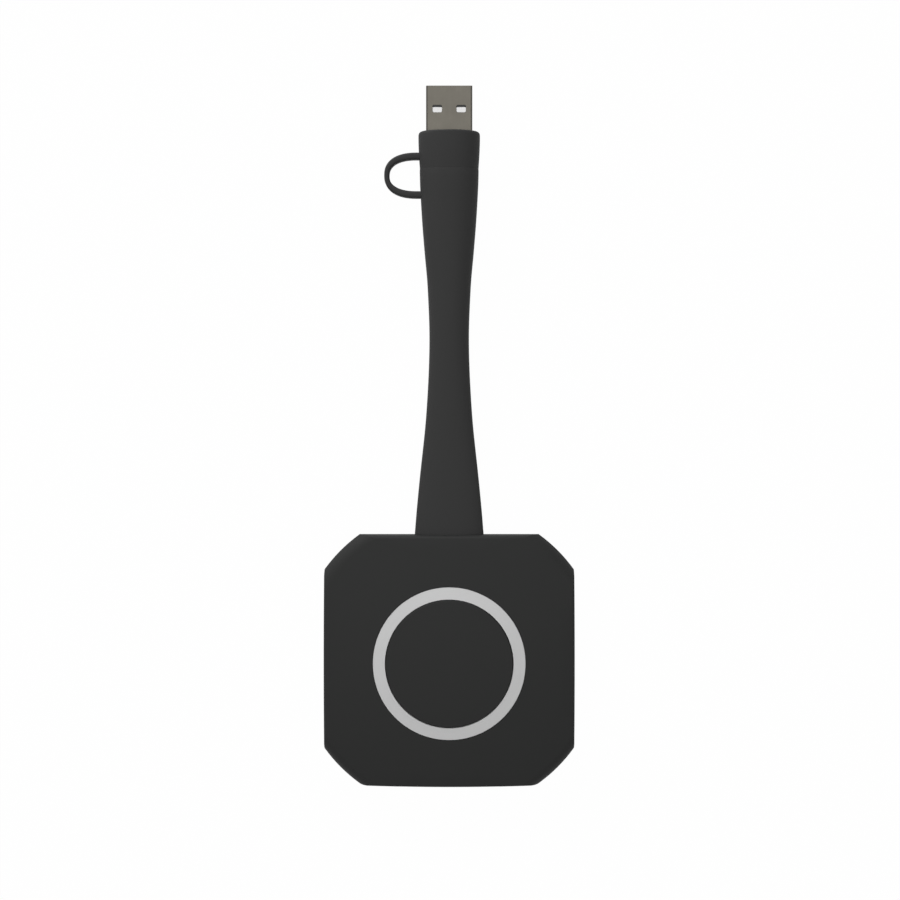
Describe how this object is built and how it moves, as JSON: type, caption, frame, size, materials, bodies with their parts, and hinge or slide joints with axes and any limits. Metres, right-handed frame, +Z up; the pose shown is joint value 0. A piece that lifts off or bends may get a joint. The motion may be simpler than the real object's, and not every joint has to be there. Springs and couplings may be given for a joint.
{
  "type": "wireless presentation dongle",
  "caption": "Clipped-corner puck with a push disc in a light ring, on a short flexible arm whose USB-A adapter pulls off a USB-C plug and stays on a strap.",
  "frame": {"origin": "under the middle of the puck, on the pad face that it rests on", "axes": "+Z up out of the push disc, +Y along the arm to the plug, +X to the right seen from the front"},
  "size_m": [0.065, 0.1815, 0.0117],
  "materials": {
    "charcoal_shell": "fine matte texture",
    "charcoal_soft": "soft-touch matte",
    "pad_rubber": "fine-grained rubber",
    "diffuser": "translucent satin white",
    "white_plastic": "satin",
    "silicone": "milky silicone",
    "black_plastic": "satin",
    "beige_plastic": "satin",
    "board_green": "solder mask over glass fibre",
    "chip_black": "moulded epoxy",
    "ceramic": "fired ceramic",
    "tinned_steel": "tinned sheet",
    "spreader": "rolled sheet",
    "thermal_grey": "soft thermal pad",
    "led_white": "moulded lens",
    "gold_contacts": "gold-plated",
    "nickel": "satin nickel plating",
    "screw_steel": "zinc-plated",
    "cable_black": "cable sheath",
    "wire_red": "wire insulation"
  },
  "bodies": {
    "puck_and_arm": {"front_cover": "charcoal_shell", "rear_cover": "charcoal_shell", "arm_overmould": "charcoal_soft", "tether": "charcoal_soft", "rear_pad": "pad_rubber", "light_ring": "diffuser", "light_reflector": "white_plastic", "button_return_pad": "silicone", "switch_body": "black_plastic", "board_plug": "black_plastic", "board_socket": "black_plastic", "usb_c_plug_insulator": "black_plastic", "plug_inner_mould": "black_plastic", "cable_socket": "beige_plastic", "cable_plug": "beige_plastic", "button_board": "board_green", "main_board": "board_green", "wifi_module": "board_green", "plug_board": "board_green", "processor": "chip_black", "memory_chips": "chip_black", "flash_chip": "chip_black", "power_inductors": "chip_black", "capacitors": "ceramic", "antennas": "ceramic", "processor_shield": "tinned_steel", "wifi_shield": "tinned_steel", "crystal": "tinned_steel", "heat_spreader": "spreader", "gap_pad": "thermal_grey", "thermal_pad": "thermal_grey", "ring_leds": "led_white", "usb_c_plug_contacts": "gold_contacts", "usb_c_plug_shell": "nickel", "cover_screws": "screw_steel", "data_cable": "cable_black", "cable_wires": "wire_red"},
    "button": {"button_cap": "charcoal_shell"},
    "switch_stem": {"switch_stem": "beige_plastic"},
    "adapter": {"adapter_collar": "charcoal_soft", "adapter_core": "black_plastic", "usb_c_socket_shell": "nickel", "usb_c_socket_tongue": "black_plastic", "usb_c_socket_contacts": "gold_contacts", "adapter_board": "board_green", "usb_a_shell": "nickel", "usb_a_insulator": "white_plastic", "usb_a_contacts": "gold_contacts"}
  },
  "joints": [
    {"name": "button_press", "type": "slide", "parent": "puck_and_arm", "child": "button", "axis": [0, 0, -1], "range_m": [0, 0.0006], "stiffness_N_per_m": 3000, "deforming": ["button_return_pad"]},
    {"name": "switch_stem_travel", "type": "slide", "parent": "puck_and_arm", "child": "switch_stem", "axis": [0, 0, -1], "range_m": [0, 0.0006]},
    {"name": "adapter_pull", "type": "slide", "parent": "puck_and_arm", "child": "adapter", "axis": [0, 1, 0], "range_m": [0, 0.0085], "deforming": ["tether"]}
  ],
  "couplings": [
    {"joint": "switch_stem_travel", "follows": "button_press", "ratio": 1}
  ]
}
